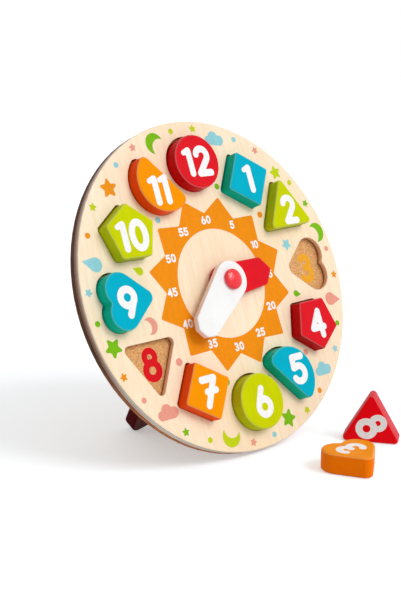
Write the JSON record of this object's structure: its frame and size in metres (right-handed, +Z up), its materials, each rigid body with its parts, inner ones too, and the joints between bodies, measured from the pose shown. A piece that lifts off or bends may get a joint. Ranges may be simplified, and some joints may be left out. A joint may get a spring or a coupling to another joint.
{
  "type": "wooden clock puzzle",
  "caption": "Toddler's wooden clock puzzle: a round board leaning on a plug-in stand, with shaped blocks that lift out of recesses at the hours and hands that turn.",
  "frame": {"origin": "on the floor, under the middle of the toy's bounding box", "axes": "+Z up, the clock face looks along -Y and leans back, +X to the right as seen from the front (towards the three o'clock place)"},
  "size_m": [0.28, 0.2162, 0.2624],
  "materials": {
    "face_board": "pale printed plywood, satin lacquer",
    "back_board": "bare reddish-brown fibreboard, fine speckle",
    "pivot_pin": "turned beech dowel",
    "centre_knob": "glossy red paint on wood",
    "hour_hand": "satin red paint on plywood",
    "minute_hand": "satin white paint on plywood, pinkish bare edge",
    "block_01": "satin teal paint on solid wood, printed white figure",
    "block_02": "satin lime paint on solid wood, printed white figure",
    "block_03": "satin orange paint on solid wood, printed white figure",
    "block_04": "satin red paint on solid wood, printed white figure",
    "block_05": "satin teal paint on solid wood, printed white figure",
    "block_06": "satin lime paint on solid wood, printed white figure",
    "block_07": "satin orange paint on solid wood, printed white figure",
    "block_08": "satin red paint on solid wood, printed white figure",
    "block_09": "satin teal paint on solid wood, printed white figure",
    "block_10": "satin lime paint on solid wood, printed white figure",
    "block_11": "satin orange paint on solid wood, printed white figure",
    "block_12": "satin red paint on solid wood, printed white figure",
    "stand_plate": "glossy dark maroon paint on wood",
    "stand_peg_left": "bare beech dowel",
    "stand_peg_right": "bare beech dowel"
  },
  "bodies": {
    "board": {"back_board": "back_board", "face_board": "face_board", "pivot_pin": "pivot_pin", "centre_knob": "centre_knob"},
    "hour_hand": {"hour_hand": "hour_hand"},
    "minute_hand": {"minute_hand": "minute_hand"},
    "block_01": {"block_01": "block_01"},
    "block_02": {"block_02": "block_02"},
    "block_03": {"block_03": "block_03"},
    "block_04": {"block_04": "block_04"},
    "block_05": {"block_05": "block_05"},
    "block_06": {"block_06": "block_06"},
    "block_07": {"block_07": "block_07"},
    "block_08": {"block_08": "block_08"},
    "block_09": {"block_09": "block_09"},
    "block_10": {"block_10": "block_10"},
    "block_11": {"block_11": "block_11"},
    "block_12": {"block_12": "block_12"},
    "stand": {"stand_plate": "stand_plate", "stand_peg_left": "stand_peg_left", "stand_peg_right": "stand_peg_right"}
  },
  "joints": [
    {"name": "hour_hand_turn", "type": "hinge", "parent": "board", "child": "hour_hand", "pos_m": [0, 0.03536, 0.13474], "axis": [0, -0.9239, 0.3827], "continuous": true},
    {"name": "minute_hand_turn", "type": "hinge", "parent": "board", "child": "minute_hand", "pos_m": [0, 0.02954, 0.13715], "axis": [0, -0.9239, 0.3827], "continuous": true},
    {"name": "block_01_lift_out", "type": "slide", "parent": "board", "child": "block_01", "axis": [0, -0.9239, 0.3827], "range_m": [0, 0.025]},
    {"name": "block_02_lift_out", "type": "slide", "parent": "board", "child": "block_02", "axis": [0, -0.9239, 0.3827], "range_m": [0, 0.025]},
    {"name": "block_03_pick_up", "type": "slide", "parent": "board", "child": "block_03", "axis": [0, 0, 1], "range_m": [0, 0.04]},
    {"name": "block_04_lift_out", "type": "slide", "parent": "board", "child": "block_04", "axis": [0, -0.9239, 0.3827], "range_m": [0, 0.025]},
    {"name": "block_05_lift_out", "type": "slide", "parent": "board", "child": "block_05", "axis": [0, -0.9239, 0.3827], "range_m": [0, 0.025]},
    {"name": "block_06_lift_out", "type": "slide", "parent": "board", "child": "block_06", "axis": [0, -0.9239, 0.3827], "range_m": [0, 0.025]},
    {"name": "block_07_lift_out", "type": "slide", "parent": "board", "child": "block_07", "axis": [0, -0.9239, 0.3827], "range_m": [0, 0.025]},
    {"name": "block_08_pick_up", "type": "slide", "parent": "board", "child": "block_08", "axis": [0, 0, 1], "range_m": [0, 0.04]},
    {"name": "block_09_lift_out", "type": "slide", "parent": "board", "child": "block_09", "axis": [0, -0.9239, 0.3827], "range_m": [0, 0.025]},
    {"name": "block_10_lift_out", "type": "slide", "parent": "board", "child": "block_10", "axis": [0, -0.9239, 0.3827], "range_m": [0, 0.025]},
    {"name": "block_11_lift_out", "type": "slide", "parent": "board", "child": "block_11", "axis": [0, -0.9239, 0.3827], "range_m": [0, 0.025]},
    {"name": "block_12_lift_out", "type": "slide", "parent": "board", "child": "block_12", "axis": [0, -0.9239, 0.3827], "range_m": [0, 0.025]},
    {"name": "stand_pull_off", "type": "slide", "parent": "board", "child": "stand", "axis": [0, 0.9239, -0.3827], "range_m": [0, 0.01]}
  ]
}
